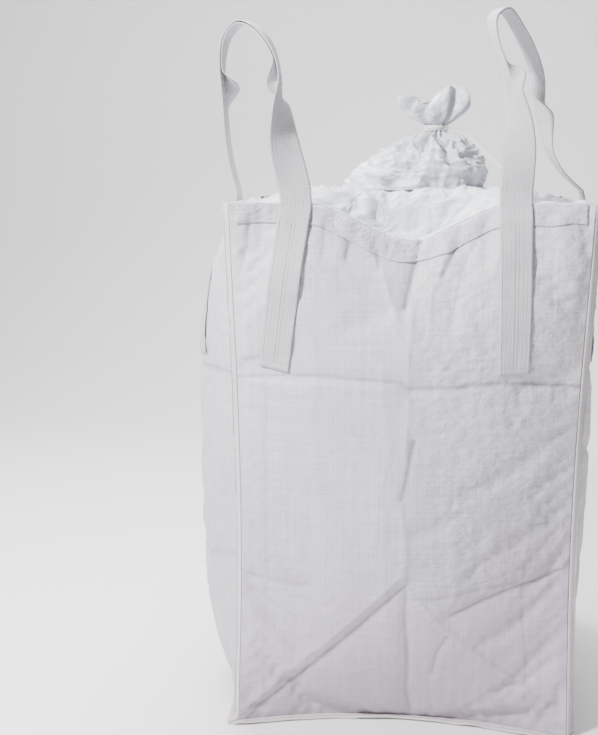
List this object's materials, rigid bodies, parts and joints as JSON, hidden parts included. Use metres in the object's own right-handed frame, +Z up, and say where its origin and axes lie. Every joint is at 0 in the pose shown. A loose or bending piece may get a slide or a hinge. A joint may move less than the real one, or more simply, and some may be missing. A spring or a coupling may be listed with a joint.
{
  "type": "bulk bag",
  "caption": "Square-based woven bulk bag for dry goods, with cross-corner webbing lifting loops, a closed top panel and a tied filling spout.",
  "frame": {"origin": "middle of the base's underside, on the floor", "axes": "+Z up; -Y is the front face; +X is the bag's right as seen from the front"},
  "size_m": [1.1071, 1.0626, 1.869],
  "materials": {
    "woven_cloth": "satin",
    "hem_cloth": "satin",
    "seam_cloth": "satin",
    "light_cloth": "satin",
    "webbing": "matte",
    "sewing_thread": "matte",
    "tie_tape": "matte"
  },
  "bodies": {
    "bag": {"front_panel": "woven_cloth", "rear_panel": "woven_cloth", "left_panel": "woven_cloth", "right_panel": "woven_cloth", "base_panel": "woven_cloth", "front_top_hem": "hem_cloth", "rear_top_hem": "hem_cloth", "left_top_hem": "hem_cloth", "right_top_hem": "hem_cloth", "corner_seam_front_left": "seam_cloth", "corner_seam_front_right": "seam_cloth", "corner_seam_rear_left": "seam_cloth", "corner_seam_rear_right": "seam_cloth", "base_seam": "seam_cloth", "corner_stitching_front_left": "sewing_thread", "corner_stitching_front_right": "sewing_thread", "corner_stitching_rear_left": "sewing_thread", "corner_stitching_rear_right": "sewing_thread", "base_seam_stitching": "sewing_thread", "spout_seam_stitching": "sewing_thread", "leg_stitching_front_left_on_front": "sewing_thread", "leg_stitching_front_left_on_left": "sewing_thread", "leg_stitching_front_right_on_front": "sewing_thread", "leg_stitching_front_right_on_right": "sewing_thread", "leg_stitching_rear_right_on_rear": "sewing_thread", "leg_stitching_rear_right_on_right": "sewing_thread", "leg_stitching_rear_left_on_rear": "sewing_thread", "leg_stitching_rear_left_on_left": "sewing_thread", "top_panel": "light_cloth", "filling_spout": "light_cloth", "spout_seam_band": "light_cloth", "spout_tie_wrap": "tie_tape", "spout_tie_knot": "tie_tape", "spout_tie_tail_right": "tie_tape", "spout_tie_tail_rear": "tie_tape", "loop_leg_front_left_on_front": "webbing", "loop_leg_front_left_on_left": "webbing", "loop_leg_front_right_on_front": "webbing", "loop_leg_front_right_on_right": "webbing", "loop_leg_rear_right_on_rear": "webbing", "loop_leg_rear_right_on_right": "webbing", "loop_leg_rear_left_on_rear": "webbing", "loop_leg_rear_left_on_left": "webbing"},
    "loop_front_left": {"lifting_loop_front_left": "webbing", "loop_bartack_front_left": "sewing_thread"},
    "loop_front_right": {"lifting_loop_front_right": "webbing", "loop_bartack_front_right": "sewing_thread"},
    "loop_rear_left": {"lifting_loop_rear_left": "webbing"},
    "loop_rear_right": {"lifting_loop_rear_right": "webbing"}
  },
  "joints": [
    {"name": "swing_front_left", "type": "hinge", "parent": "bag", "child": "loop_front_left", "pos_m": [-0.307, -0.446, 1.45], "axis": [0.6666, -0.7454, 0], "range_deg": [-15, 145], "stiffness_Nm_per_rad": 1.2},
    {"name": "swing_front_right", "type": "hinge", "parent": "bag", "child": "loop_front_right", "pos_m": [0.283, -0.443, 1.45], "axis": [0.6974, 0.7167, 0], "range_deg": [-15, 145], "stiffness_Nm_per_rad": 1.2},
    {"name": "swing_rear_left", "type": "hinge", "parent": "bag", "child": "loop_rear_left", "pos_m": [-0.27, 0.464, 1.412], "axis": [0.7071, 0.7071, 0], "range_deg": [0, 165]},
    {"name": "swing_rear_right", "type": "hinge", "parent": "bag", "child": "loop_rear_right", "pos_m": [0.27, 0.464, 1.412], "axis": [0.7071, -0.7071, 0], "range_deg": [0, 165]}
  ]
}
